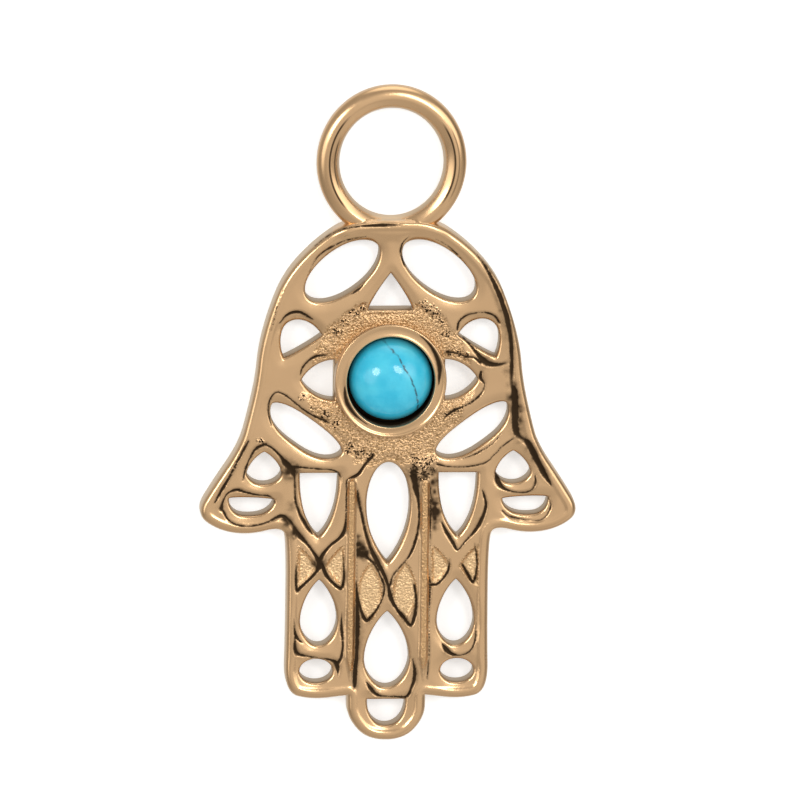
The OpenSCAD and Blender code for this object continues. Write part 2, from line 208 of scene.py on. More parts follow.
# %% The creases, drawn as a graver's strokes
# Each stroke is a run of points. Columns: x, y, half width, and how deep and dark it is (0 to 1).
strokes = [
    # left finger: round the arch, into the crossing, and round the two leaf panels
    [(-18, -17.2, .3, .9), (-17.9, -20, .25, .8), (-17.7, -23.5, .25, .8), (-16.9, -26, .3, .9),
     (-15.7, -28.2, .35, 1), (-14.5, -30, .15, .8)],
    [(-18.6, -16.9, .5, 1), (-16.5, -17, .2, .8), (-13.5, -17.3, .2, .7), (-10.6, -17.6, .2, .7),
     (-9.3, -18.7, .25, .6), (-9, -20.8, .2, .1)],
    [(-7.9, -19.8, .3, 1), (-8, -23, .25, .8), (-8, -27, .3, .9), (-8.4, -29.5, .45, 1),
     (-9.4, -30.9, .3, .9), (-11, -32.2, .3, .8), (-12.3, -33.8, .35, 1), (-13, -35.4, .6, 1)],
    [(-23, -27.6, .2, .6), (-20.4, -26.4, .35, .9), (-18.6, -27.7, .35, .8), (-17.3, -29.8, .6, .9),
     (-15.6, -31.7, .3, .9), (-14, -33.9, .3, .9), (-13.1, -35.6, .7, 1), (-13.4, -37, .4, 1),
     (-14.9, -38.8, .3, .9), (-16.5, -40.3, .35, 1), (-17.3, -41, .3, .9), (-17.5, -38.5, .3, .9),
     (-17.5, -35.5, .2, .3)],
    [(-12.6, -36, .5, 1), (-11.6, -38.2, .4, 1), (-10.3, -39.7, .35, 1), (-8.9, -40.6, .35, 1),
     (-8.4, -39, .3, .9), (-8.4, -36, .25, .7), (-8.7, -33, .2, .3)],
    [(-17.8, -46.5, .15, .4), (-17.6, -49, .25, .9), (-17.1, -50.3, .25, 1), (-16.2, -51.2, .12, .7)],
    [(-17.6, -50, .2, .6), (-17.4, -52.8, .45, 1), (-16.2, -53.6, .3, .9), (-13.5, -54.1, .2, .6),
     (-11, -54.5, .25, .7), (-9.6, -55.4, .5, 1), (-9.2, -57.9, .2, .3)],
    [(-8.7, -45.5, .2, .4), (-8.7, -48.5, .35, .9), (-8.4, -51.5, .25, .8), (-8.7, -54, .3, .8),
     (-9.4, -55.3, .4, .9)],
    # left ridge and the left side of the palm arch, as far as the crossing below it
    [(-3, -14.8, .3, .9), (-4.6, -16.6, .3, .9), (-5.8, -18.3, .35, 1), (-7.6, -19.4, .3, 1),
     (-8, -20.6, .2, .8), (-7.95, -28, .15, .5)],
    [(-6, -21, .15, .6), (-5.8, -23, .3, 1), (-5, -26.5, .3, 1), (-4.3, -29.6, .3, 1),
     (-3.3, -32.8, .4, 1), (-2.1, -35.3, .55, 1), (-0.8, -37.8, .4, 1), (0, -39.8, .3, .9),
     (0.7, -42.6, .5, 1), (1.8, -44.7, .3, 1), (3.2, -46.4, .35, 1), (4.5, -47.9, .3, 1),
     (5.3, -45.8, .35, 1), (5.5, -43, .3, .9), (5.1, -40, .25, .8)],
    [(-6.1, -34, .2, .8), (-6.1, -39, .25, .9), (-5.9, -43, .65, 1), (-5.8, -48, .75, 1),
     (-5.9, -53, .7, 1), (-6, -57, .55, 1), (-6.1, -59.8, .45, .9)],
    [(-5.6, -42.5, .3, .8), (-4.9, -45.3, .4, .9), (-3.9, -46.9, .35, 1), (-2.4, -45.4, .25, .8),
     (-1.1, -43, .2, .7), (-0.6, -40.6, .25, .9), (-1.3, -38.4, .2, .8), (-2.6, -35.9, .3, .8),
     (-4.4, -34.2, .25, .9)],
    # right side of the palm arch and of the right ridge
    [(4.7, -18.1, .8, 1), (5.1, -20.5, .8, 1), (5.7, -23.5, .4, .9), (5.9, -26, .25, .9),
     (5.8, -28.5, .3, .9), (5.2, -31.5, .3, .9), (4.1, -34.3, .25, .8), (2.4, -36.4, .2, .7),
     (1, -38.2, .2, .7), (0.5, -40, .3, .9)],
    [(7.9, -20.3, .3, .9), (7.95, -23.5, .3, .8), (8, -26.5, .3, .8), (8, -28.7, .25, .8),
     (7.9, -31, .2, .8), (7.8, -36, .2, .8), (8.1, -41, .3, .9), (7.9, -46, .2, .8),
     (8, -52, .2, .8), (7.9, -56, .15, .7), (7.7, -58.6, .15, .6)],
    # right finger: the arch, its leaf panels and its drop
    [(10.2, -27.8, .15, .7), (11.2, -29.8, .35, 1), (12.4, -31.8, .35, 1), (13.3, -33.2, .2, .9),
     (14.8, -31.5, .2, .8), (16.6, -29.5, .35, .9), (17.8, -27.3, .4, 1), (18.6, -24.6, .3, 1),
     (18.2, -22.5, .25, .9), (17.8, -21.4, .1, .5)],
    [(11.8, -35, .15, .5), (11.6, -37, .25, .9), (10.9, -38.4, .25, .9), (9.6, -39.8, .25, .9),
     (8.3, -40, .3, .8)],
    [(16.5, -32, .2, .3), (16.9, -34, .2, .8), (17, -37, .25, .8), (16.4, -39.5, .25, 1),
     (15.3, -38, .35, 1), (14.3, -36.2, .2, .8)],
    [(10.6, -51.6, .15, .8), (11.4, -52.7, .5, 1), (12.4, -53.5, .3, 1), (13.8, -53.8, .15, .6),
     (15.3, -53.4, .2, .6), (16.4, -52.2, .2, .7), (16.9, -50.3, .2, .8), (17, -47.5, .1, .6)],
    # below the middle drop
    [(-3.8, -58.9, .15, .8), (-3, -60.2, .4, 1), (-2, -61.3, .35, 1), (-0.5, -61.7, .15, .8),
     (2, -61.8, .15, .9), (3.9, -61.8, .25, 1), (4.8, -60, .3, .9), (5.4, -57.6, .4, 1),
     (5, -54.5, .2, .7)],
    # left thumb: beside its border, round its two openings and down to the finger
    [(-26.9, -11.8, .18, .9), (-28.3, -14.5, .26, 1), (-30.6, -19.1, .3, 1), (-31.9, -21.4, .34, 1),
     (-33.1, -23.7, .2, .9)],
    [(-23.5, -12.4, .3, .9), (-25.4, -13.3, .3, .9), (-26.7, -15.6, .2, .9), (-27.4, -17.6, .2, .8),
     (-27.8, -19.4, .15, .6)],
    [(-24, -12.4, .3, .9), (-22.4, -13.1, .2, .9), (-20.8, -14.7, .3, .9), (-19.8, -16, .7, 1),
     (-18.7, -17.2, .9, 1), (-18.1, -18.5, .4, .9)],
    [(-31.9, -25, .6, .9), (-31.5, -23.4, .25, .8), (-30.6, -21.9, .25, .8), (-29, -21.3, .3, 1),
     (-27.2, -21.8, .25, .9), (-25, -22.3, .2, .8), (-22.7, -22.6, .2, .7), (-21.5, -24, .15, .5)],
    [(-31.4, -25.6, .3, .8), (-30.6, -27, .2, .8), (-29, -28, .2, .8), (-26.5, -28.3, .2, .8),
     (-23.5, -27.7, .2, .8), (-20.7, -26.4, .3, .8)],
    # right thumb
    [(20.6, -18.3, .3, 1), (20.9, -20, .6, 1), (22, -21.3, .3, .9), (24, -22, .2, .8),
     (26, -22.1, .2, .8), (27.4, -21.5, .2, .8), (28, -20.2, .25, .9), (27.9, -18.8, .2, .7)],
    [(21.8, -25.7, .2, .7), (23, -26.7, .25, .8), (25.5, -27.3, .2, .7), (28.6, -27.6, .2, .6),
     (30.2, -26.6, .2, .7), (31, -24.7, .2, .7), (30.5, -23, .15, .4)],
    # the lower leaves and the curves below them
    [(-22.4, -9, .15, .6), (-23, -6.5, .2, .9), (-22.9, -4, .2, .8), (-21.8, -2.4, .2, .7),
     (-20.2, -2.7, .2, .7), (-18.5, -4, .2, .8), (-16.2, -5.9, .2, .9), (-14, -7.2, .2, .9),
     (-11.8, -8.2, .25, .9)],
    [(9.2, -16.5, .3, .7), (11.5, -17, .15, .7), (15, -17, .2, .8), (18.3, -16.3, .25, .7),
     (20, -14.8, .15, .7), (21.8, -12.9, .15, .7), (23.6, -11.6, .2, .6)],
    [(14, -15.5, .1, .5), (16.2, -14.7, .15, .8), (18.4, -13.5, .15, .8), (20.3, -12, .12, .7),
     (21.4, -10.4, .1, .4)],
    # beside the stone and above the upper side openings
    [(-17.1, .9, .15, .5), (-16.7, 2.4, .2, .8), (-15.5, 3.8, .2, .8), (-14.1, 4.6, .25, .9),
     (-12.1, 4.8, .15, .8)],
    [(10.9, 5.3, .3, .8), (12.8, 5, .15, .8), (14.5, 4.4, .2, .8), (16, 4.2, .25, .8), (17.3, 3.2, .3, .9)],
    [(17.4, 1.5, .25, .9), (17.3, .2, .35, .9), (18.1, -1, .15, .6), (17.5, -2.7, .25, .8),
     (16, -4.2, .2, .8), (13.9, -5.4, .15, .8), (12.2, -6.1, .25, .9), (10.6, -7.4, .15, .6)],
    [(-21, 11.2, .15, .6), (-20, 12.5, .25, .9), (-18.6, 13.2, .3, 1), (-17, 13.1, .3, 1),
     (-15, 11.9, .2, .8)],
    [(12.8, 9.6, .2, .9), (13.1, 11.2, .2, .9), (14.4, 12.4, .2, .8), (16.4, 12.9, .15, .7),
     (18.4, 12.9, .2, .8), (19.9, 12.2, .25, .9), (20.8, 10.9, .25, .9)],
    [(13.3, 8.5, .1, .6), (15, 6.9, .15, .8), (16.6, 5, .35, 1), (18, 3.5, .8, 1),
     (19.4, 2.9, .5, 1), (21, 2.9, .3, .8), (22.6, 3.3, .4, .3)],
    # round the top leaves and along the borders; the run along the top edge also paints the edge's shade,
    # and the broad run down the right border paints a dark reflection
    [(-14.5, 26, .1, .5), (-12.5, 27.7, .1, .6), (-9.5, 29.3, .12, .7), (-7, 29.9, .15, .8),
     (-4, 30.1, .25, 1), (-1, 30.2, .28, 1), (1.5, 30.2, .1, .6)],
    [(-8.2, 16.3, .1, .4), (-6.4, 17.4, .2, .9), (-4.9, 18.9, .15, .7)],
    [(-15.8, 20.5, .1, .5), (-14.3, 23.5, .16, .8), (-12.3, 25.3, .18, .9), (-9, 27, .16, .8),
     (-5, 27.9, .12, .6)],
    [(3.2, 27.8, .1, .5), (2.1, 26.4, .15, .9), (1.8, 24.6, .15, .9), (2.6, 22, .15, .8)],
    [(8.5, 27.3, .1, .4), (10.8, 25.9, .12, .7), (13, 23.8, .12, .8), (15.2, 20.6, .12, .6)],
    [(-22.7, 9.8, .12, .6), (-21.8, 13.6, .12, .7), (-20.6, 17.6, .12, .5)],
    [(16.4, 24.1, .1, .5), (18.1, 21.7, .25, .9), (20, 18, .5, 1), (21.4, 14.5, .6, 1),
     (22.4, 11, .6, 1), (23, 7.4, .5, 1), (23.2, 4, .45, .9), (23.2, .8, .5, .6), (23.3, -.8, .5, .6),
     (23.8, -2.4, .75, 1), (24, -6, .85, 1), (24.1, -9.8, .75, .9), (25, -11.2, .6, .6),
     (26.6, -12.6, .75, .9), (28.2, -15.6, .75, 1), (29.6, -18.3, .6, 1), (31.1, -20.8, .1, .9)],
]
# Places where the stippled ground is pitted, and places where shade is painted. Columns: x, y, half width,
# how strongly pitted, how much painted shade.
pitted = [
    (-10.2, 9.4, .9, .7, 0), (-8.6, 11.4, 1, .8, 0), (-7, 12.9, .9, .7, 0), (-5.2, 14.3, .8, .9, 0),
    (6.2, 14.8, .8, .8, 0), (7.4, 13.9, 1, 1, .2), (8.6, 12.8, .9, .9, .1), (9.6, 11, .8, .6, 0),
    (10.5, 8.8, .9, .7, 0), (11.6, 5.2, .6, .9, .1), (13, 5, .6, .9, .1), (14.6, 4.5, .6, .9, .2),
    (-16.6, -3.2, .7, .7, 0), (-14.6, -5.6, .7, .6, 0), (-12.2, -6.9, 1, .8, 0), (-10.4, -8.7, .8, .8, .1),
    (-7.4, -13.3, 1, .9, .1), (-5.6, -14.1, 1.1, 1, .2), (-3.6, -14.9, .9, .8, .1), (-1.5, -14, .8, .4, 0),
    (5, -15.6, 1.1, 1, .2), (7, -16.4, 1.4, 1, .3), (4.7, -17.8, 1.1, 1, .8), (6.6, -18.6, 1.2, 1, .8),
    (5.4, -20.5, .6, 0, .8), (8.4, -15.6, .9, .9, .2), (8.2, -17.8, .9, .9, .7), (8.7, -20, .7, 0, .8),
    (8.7, -22, .7, 0, .7), (8.8, -23.8, .8, 0, .9), (8.9, -25.5, .9, 0, 1), (9, -27.2, .8, 0, .9),
    (9, -28.8, .6, 0, .7), (-6, -30.5, .6, 0, .8), (-5.7, -32, .8, 0, 1.1), (-5.2, -33.3, .9, 0, 1.2),
    (-4.4, -34, .8, 0, 1.1), (-6.2, -33.8, .7, 0, 1), (11.2, -6.8, .7, .7, 0), (12.6, -6.1, .7, .7, 0),
    (13.8, -5.3, .6, .6, 0), (-24.6, -11.8, .7, .8, 0), (-18.8, -17.5, 1.2, 0, 1), (-13.2, -35.6, .9, 0, 1),
    (22.6, 1.6, .8, 0, .5), (23.4, -1.2, .8, 0, .6), (25, -11.3, 1, 0, .6), (18.4, 3.2, .9, 0, .6),
    (23.7, -3.4, .9, 0, .9), (24.1, -5.6, 1, 0, .9), (24.4, -8, 1, 0, .8), (24.4, -10, .9, 0, .7),
    (26.6, -13, .9, 0, .6), (27.9, -15.3, .8, 0, .7), (22.6, 8.5, .7, 0, .6), (21.4, 13.5, .7, 0, .6),
    (-19.4, -27.4, .8, 0, .9), (-17.9, -29.8, .8, 0, .8), (-18.3, -24.5, 1, 0, .5),
]


# %% Measuring how far points lie from a line
far = 0.9


def distance_to(line, points, reach=far, at_once=700):
    """Distances to a closed line, negative inside it. Points further off than reach are given as reach."""
    a, b = line, np.roll(line, -1, 0)
    low, high = np.minimum(a, b)[:, 1], np.maximum(a, b)[:, 1]
    out = np.full(len(points), float(reach))
    near = np.flatnonzero(((points > line.min(0) - reach) & (points < line.max(0) + reach)).all(1))
    near = near[np.argsort(points[near, 1], kind="stable")]
    for s in range(0, len(near), at_once):
        which = near[s : s + at_once]
        p = points[which][:, None, :]
        level = (high > p[0, 0, 1] - reach) & (low < p[-1, 0, 1] + reach)
        if not level.any():
            continue
        a1, edge = a[level], (b - a)[level]
        rise = np.where(edge[:, 1] == 0, 1e-12, edge[:, 1])
        t = np.clip(((p - a1) * edge).sum(2) / (edge**2).sum(1), 0, 1)
        d = np.sqrt((((p - a1) - t[..., None] * edge) ** 2).sum(2)).min(1)
        crosses = ((a1[:, 1] > p[..., 1]) != (b[level][:, 1] > p[..., 1])) & (
            p[..., 0] < a1[:, 0] + (p[..., 1] - a1[:, 1]) * edge[:, 0] / rise
        )
        out[which] = np.where(crosses.sum(1) % 2 == 1, -d, np.minimum(d, reach))
    return out


def speckle(points, size, seed):
    """Smooth random values from 0 to 1 that change over about the given size, the same each time."""
    q = points / size + seed * 17.3
    cell = np.floor(q)
    f = q - cell
    f = f * f * (3 - 2 * f)

    def corner(dx, dy):
        v = np.sin((cell[:, 0] + dx) * 127.1 + (cell[:, 1] + dy) * 311.7 + seed * 74.7) * 43758.5453
        return v - np.floor(v)

    low = corner(0, 0) * (1 - f[:, 0]) + corner(1, 0) * f[:, 0]
    high = corner(0, 1) * (1 - f[:, 0]) + corner(1, 1) * f[:, 0]
    return low * (1 - f[:, 1]) + high * f[:, 1]


def ease(low, high, x):
    """A soft step from 0 at low to 1 at high, which may be the smaller of the two."""
    t = np.clip((x - low) / (high - low), 0, 1)
    return t * t * (3 - 2 * t)


# %% The strokes as smooth curves
def smooth_stroke(stroke, steps=10):
    """A soft curve through the points of a stroke, as closely spaced points with the same columns."""
    p = np.array(stroke, float)
    p = np.concatenate((2 * p[:1] - p[1:2], p, 2 * p[-1:] - p[-2:-1]))
    t = (np.arange(steps) / steps)[:, None]
    runs = []
    for p0, p1, p2, p3 in zip(p, p[1:], p[2:], p[3:]):
        curve = 2 * p1 + (p2 - p0) * t + (2 * p0 - 5 * p1 + 4 * p2 - p3) * t**2
        runs.append((curve + (3 * p1 - p0 - 3 * p2 + p3) * t**3) / 2)
    curve = np.concatenate(runs + [p[-2:-1]])
    curve[:, :3] *= drawing_unit
    return curve


creases = [smooth_stroke(stroke) for stroke in strokes]


def crease_field(points, at_once=2000):
    """How deep the strokes make each point, the half width of the deepest one, and the painted shade round
    them.
    """
    best, broad, crease_shade = np.zeros(len(points)), np.zeros(len(points)), np.zeros(len(points))
    for curve in creases:
        width = np.maximum(curve[:, 2], 0.02)
        reach = 4 * width.max() + 0.1
        box = (points > curve[:, :2].min(0) - reach) & (points < curve[:, :2].max(0) + reach)
        near = np.flatnonzero(box.all(1))
        for s in range(0, len(near), at_once):
            which = near[s : s + at_once]
            d = np.hypot(*(points[which][:, None, :] - curve[:, :2]).T).T
            k = (d / width).argmin(1)
            share = d[np.arange(len(which)), k] / (0.82 * width[k] + 0.008)
            force = curve[k, 3] * np.exp(-(share**2.6))
            better = force > best[which]
            best[which[better]] = force[better]
            broad[which[better]] = width[k][better]
            crease_shade[which] = np.maximum(crease_shade[which], curve[k, 3] * np.exp(-((share / 2.6) ** 2)))
    return best, broad, crease_shade


# %% The lips of the openings, the pits of the old patina, and painted shade
def lips_at(points):
    """How far each point lies from the nearest opening, and how far the lips sink it."""
    open_gap = np.full(len(points), far)
    dip = np.zeros(len(points))
    for name, line in opening_lines.items():
        below, dip_below, above, dip_above = lips[name.replace("_left", "").replace("_right", "")]
        gap = np.maximum(distance_to(line, points), 0)
        aim = points - (line.min(0) + line.max(0)) / 2
        rise = aim[:, 1] / np.maximum(np.hypot(*aim.T), 1e-9)
        under, over = ease(0.2, 0.95, -rise), ease(0.1, 0.9, rise)
        for width, deep, share in ((below, dip_below, under), (above, dip_above, over)):
            dip = np.maximum(dip, deep * share * ease(width, 0, gap) * (gap < width))
        open_gap = np.minimum(open_gap, gap)
    return open_gap, dip


def pits_at(points):
    """From 0 to 1, how pitted each point is and how much painted shade lies on it."""
    pits, painted_shade = np.zeros(len(points)), np.zeros(len(points))
    ragged = 0.8 * (speckle(points, 0.16, 8) - 0.5)
    for x, y, width, strength, shade_weight in pitted:
        d = np.hypot(*(points - (x * drawing_unit, y * drawing_unit)).T) / (width * drawing_unit)
        pits = np.maximum(pits, strength * ease(1.5, 0.3, d + ragged))
        painted_shade = np.maximum(painted_shade, shade_weight * np.exp(-((d / 1.7) ** 2)))
    return pits, painted_shade


# %% The stippled eye round the setting
eye_half, eye_flatter = 15.6, 0.90
eye_floor = 0.05
bead_radius, bead_half, bead_rise = 2.78, 0.035, 0.03


def eye_at(points, open_gap):
    """From 0 to 1, how far each point lies in the ground round the setting."""
    down = points[:, 1] * np.where(points[:, 1] < 0, eye_flatter, 1.0)
    out = np.hypot(points[:, 0], down) / (eye_half * drawing_unit) + 0.09 * (speckle(points, 0.35, 9) - 0.5)
    return ease(1.03, 0.95, out) * ease(0.08, 0.2, open_gap)


# %% The height of the face at any point, and where it is grainy or dark
wave, ripple = 0.030, 0.014
grit_depth, pit_depth = 0.012, 0.02
foot_across, foot_along = (11.5, 8.0), (26.6, 28.8)


def carve(points):
    """Height in millimetres, and from 0 to 1 how stippled, how dark with patina and painted shade, how like
    a ridge's core and how pitted it is.
    """
    open_gap, dip = lips_at(points)
    edge_gap = -distance_to(hand_line, points)
    panel_gap = np.min([distance_to(line, points) for line in panel_lines.values()], 0)
    ridge_gap = np.min([distance_to(line, points) for line in ridge_lines.values()], 0)
    crease, broad, crease_shade = crease_field(points)
    pits, painted_shade = pits_at(points)
    in_eye = eye_at(points, open_gap)
    in_panel = ease(0.0, 0.22, -panel_gap)
    in_ridge = ease(-0.04, 0.02, -ridge_gap)
    core = ease(0.05, 0.13, -ridge_gap)

    height = ground + wave * (speckle(points, 1.9, 3) - 0.5) + ripple * (speckle(points, 0.8, 5) - 0.5)
    height += border_rise * ease(border_width + 0.08, border_width - 0.10, edge_gap)
    x, y = points.T / drawing_unit
    height += foot_rise * ease(*foot_across, abs(x)) * ease(*foot_along, y)
    height -= pillow * ease(0.55, 0.0, np.minimum(open_gap, edge_gap + 0.15))
    height -= dip
    height -= crease_depth * crease * np.clip(broad / 0.06, 0.6, 1.2)
    height -= panel_floor * in_panel
    height += ridge_rise * ease(-0.06, 0.16, -ridge_gap)
    height -= eye_floor * in_eye
    radius = np.hypot(*points.T)
    bead = np.exp(-(((radius - bead_radius) / bead_half) ** 2))
    height += bead_rise * bead * ease(0.3, -0.5, points[:, 1] / np.maximum(radius, 0.1))
    grit = speckle(points, 0.10, 1) + 0.7 * speckle(points, 0.055, 2) - 0.85
    height += (grit_depth * (in_eye + in_panel) + pit_depth * pits * (open_gap > 0.1)) * grit
    for gap, roll in ((open_gap, opening_roll), (edge_gap, outline_roll)):
        t = np.clip(1 - gap / roll, 0, 1)
        height -= roll * (1 - np.sqrt(1 - t * t * 0.98))

    # Patina in the creases, then painted shade: a halo round each crease and shade laid in recesses. None of
    # it falls on the ridges.
    dark = np.minimum(1.35 * crease * (0.75 + 0.5 * speckle(points, 0.25, 11)), 1)
    dark = np.maximum(dark, crease_shade * (0.22 + 0.45 * speckle(points, 0.6, 12)))
    dark = np.maximum(dark, painted_shade * (0.55 + 0.7 * speckle(points, 0.14, 14))) * (1 - 0.95 * in_ridge)
    stipple = np.maximum(0.55 * in_eye, ease(-0.02, 0.09, -panel_gap))
    return height, stipple, dark, core, pits * (open_gap > 0.03)


# %% [markdown]
# ## The net of points
#
# The face has to be fine where it curves tightly, at the lip of an opening, and may be coarse on the calm
# metal. A remesh would blur the lips, and a plain grid would leave them ragged. So rings of points are laid
# round each line, close together, the rest is filled with an even honeycomb, and Blender's own triangulator
# joins them. The lines themselves are kept as edges, so the openings are cut cleanly.


# %% Rings of points beside a line
sharp_turn = 28


def even_steps(line, pitch):
    """The same closed line with points at even steps, its sharp corners kept."""
    before, after = line - np.roll(line, 1, 0), np.roll(line, -1, 0) - line
    across = before[:, 0] * after[:, 1] - before[:, 1] * after[:, 0]
    turn = np.degrees(np.arctan2(across, (before * after).sum(1)))
    corners = np.flatnonzero(abs(turn) > sharp_turn)
    if len(corners) == 0:
        corners = np.array([0])
    points = []
    for c, corner in enumerate(corners):
        stop = corners[(c + 1) % len(corners)]
        count = (stop - corner) % len(line) or len(line)
        run = line[(corner + np.arange(count + 1)) % len(line)]
        along = np.concatenate(([0], np.cumsum(np.hypot(*np.diff(run, axis=0).T))))
        steps = max(2, round(along[-1] / pitch))
        where = np.linspace(0, along[-1], steps + 1)[:-1]
        points.append(np.column_stack([np.interp(where, along, run[:, i]) for i in (0, 1)]))
    return np.concatenate(points)


def beside(line, gap):
    """Points at a distance outside a closed line, fanned out round its corners. A negative gap is inside."""
    before, after = line - np.roll(line, 1, 0), np.roll(line, -1, 0) - line
    n1 = np.column_stack((before[:, 1], -before[:, 0])) / np.hypot(*before.T)[:, None]
    n2 = np.column_stack((after[:, 1], -after[:, 0])) / np.hypot(*after.T)[:, None]
    out = []
    for share in (0.5, 0.1, 0.9, 0.3, 0.7):
        n = n1 * (1 - share) + n2 * share
        length = np.hypot(*n.T)
        keep = np.ones(len(line), bool) if share == 0.5 else (n1 * n2).sum(1) < 0.9
        out.append((line + gap * n / np.maximum(length, 1e-6)[:, None])[keep & (length > 0.2)])
    return np.concatenate(out)


# %% The rings round every opening, panel, ridge, stroke and the setting
# Each batch is a set of points and how far they stay from a cut line.
cut_gaps = (0.018, 0.045, 0.08, 0.12, 0.165, 0.215, 0.27, 0.325, 0.38, 0.435, 0.49, 0.545)
guide_gaps = (0, 0.05, -0.05, 0.1, -0.1, -0.15, -0.2, -0.25)
stroke_shares = (0, 0.5, -0.5, 1, -1, 1.6, -1.6, 2.3, -2.3)
setting_radii = (2.3, 2.45, 2.6, 2.66, 2.7, 2.735, 2.77, 2.805, 2.84, 2.9)
cut_pitch, hand_pitch, clear = 0.075, 0.085, 0.03

cut_lines = {name: even_steps(line, cut_pitch) for name, line in opening_lines.items()}
cut_lines["hand"] = even_steps(hand_line, hand_pitch)
guide_lines = [even_steps(line, cut_pitch) for line in (*panel_lines.values(), *ridge_lines.values())]

batches = []
for name, line in cut_lines.items():
    inward = -1 if name == "hand" else 1
    batches += [(beside(line, inward * gap), gap * 0.93) for gap in cut_gaps]
for line in guide_lines:
    batches += [(beside(line, gap), clear) for gap in guide_gaps]
for curve in creases:
    along = curve[1:, :2] - curve[:-1, :2]
    sideways = np.column_stack((-along[:, 1], along[:, 0])) / np.hypot(*along.T)[:, None]
    breadth = curve[:-1, 2:3] + 0.02
    batches += [(curve[:-1, :2] + sideways * (share * breadth), clear) for share in stroke_shares]
turn = np.linspace(0, 2 * math.pi, 241)[:-1]
circle = np.column_stack((np.cos(turn), np.sin(turn)))
batches += [(radius * circle, clear) for radius in setting_radii]
print(len(batches), "rings of points laid")


# %% An even honeycomb for the rest, finer where the metal is stippled
def honeycomb(low, high, pitch):
    """Points in rows, every other row moved along by half a step."""
    rows = np.arange(low[1], high[1], pitch * math.sqrt(3) / 2)
    columns = np.arange(low[0], high[0], pitch)
    shifts = [pitch / 2 * (i % 2) for i in range(len(rows))]
    grid = [np.column_stack((columns + shift, np.full(len(columns), y))) for shift, y in zip(shifts, rows)]
    return np.concatenate(grid)


eye_low, eye_high = (-4.6, -5.1), (4.6, 4.8)
eye_pitch, panel_pitch, calm_pitch = 0.068, 0.062, 0.105
patch = honeycomb(eye_low, eye_high, eye_pitch)
fine = [patch[np.hypot(*patch.T) > setting_radii[0]]]
for line in panel_lines.values():
    patch = honeycomb(line.min(0), line.max(0), panel_pitch)
    fine.append(patch[distance_to(line, patch) < -clear])
batches.append((np.concatenate(fine), 0.04))
batches.append((honeycomb(hand_line.min(0), hand_line.max(0), calm_pitch), 0.05))

candidates = np.concatenate([points for points, _ in batches])
least = np.concatenate([np.full(len(points), gap) for points, gap in batches])
nearest_cut = -distance_to(hand_line, candidates)
for line in opening_lines.values():
    nearest_cut = np.minimum(nearest_cut, distance_to(line, candidates))
candidates = candidates[nearest_cut > least * 0.97]
print(len(candidates), "points considered")


def thin_out(points, fixed, gap):
    """Leaves out each point that lies closer than gap to one that was kept before it."""
    kept, cells = [], {}
    limit = gap * gap
    for n, (x, y) in enumerate(np.concatenate((fixed, points)).tolist()):
        cx, cy = int(x // gap), int(y // gap)
        if n >= len(fixed):
            near = (p for i in (-1, 0, 1) for j in (-1, 0, 1) for p in cells.get((cx + i, cy + j), ()))
            if any((x - u) ** 2 + (y - v) ** 2 < limit for u, v in near):
                continue
            kept.append((x, y))
        cells.setdefault((cx, cy), []).append((x, y))
    return np.array(kept)


least_step = 0.036
rim_points = np.concatenate(list(cut_lines.values()))
inner_points = thin_out(candidates, rim_points, least_step)
print(len(rim_points), "points on the cut lines and", len(inner_points), "on the face")

# %% Joining the points, with the cut lines kept as edges
corner_points = np.concatenate((rim_points, inner_points))
line_edges, line_of, first = [], np.full(len(corner_points), -1), 0
for number, line in enumerate(cut_lines.values()):
    ids = np.arange(first, first + len(line))
    line_edges += list(zip(ids.tolist(), np.roll(ids, -1).tolist()))
    line_of[ids] = number
    first += len(line)
joined, _, triangles, came_from, _, _ = delaunay_2d_cdt(
    [Vector(p) for p in corner_points.tolist()], line_edges, [], 0, 1e-7
)
flat = np.array([tuple(p) for p in joined])
source = np.array([ids[0] if ids else -1 for ids in came_from])
triangles = np.array(triangles)

# A triangle with all its corners on one line may lie outside the metal, so it is tested by its middle.
same = line_of[source[triangles]]
doubtful = (same[:, 0] >= 0) & (same[:, 0] == same[:, 1]) & (same[:, 0] == same[:, 2])
middles = flat[triangles[doubtful]].mean(1)
in_metal = distance_to(hand_line, middles) < 0
for line in opening_lines.values():
    in_metal &= distance_to(line, middles) > 0
keep = np.ones(len(triangles), bool)
keep[np.flatnonzero(doubtful)[~in_metal]] = False
triangles = triangles[keep]
print(len(flat), "points and", len(triangles), "triangles on the face")

# %% [markdown]
# ## From the carved face to a cast plate
#
# The face is only a skin so far. As a founder's plate has a face, walls and a flat back, the skin's open
# edges are pulled straight down, flattened just above the back, pulled down once more and drawn in a
# little, which breaks the sharp back edge, and then the back is filled in. Pulling the real edges down
# keeps every wall square to its opening with no gap to close.

# %% The skin, sunk where the stone is seated
seat_radius, seat_floor = 2.1, 0.4
slope_inside, slope_outside = 2.32, 2.5
height = carve(flat)[0]
from_centre = np.hypot(*flat.T)
sloped = seat_floor + (height - seat_floor) * ease(slope_inside, slope_outside, from_centre)
height = np.where(from_centre < slope_outside, sloped, height)


def only(obj):
    """Makes one object the selected and the active one."""
    bpy.ops.object.select_all(action="DESELECT")
    obj.select_set(True)
    bpy.context.view_layer.objects.active = obj


def piece_from(name, points, edges, faces):
    """A new object from points in millimetres."""
    mesh = bpy.data.meshes.new(name)
    mesh.from_pydata((np.asarray(points) * MM).tolist(), edges, faces)
    obj = bpy.data.objects.new(name, mesh)
    bpy.context.scene.collection.objects.link(obj)
    only(obj)
    return obj


face = np.column_stack((flat[:, 0], flat[:, 1] + stone_y, height))
hand = piece_from("cast_hamsa", face, [], triangles.tolist())

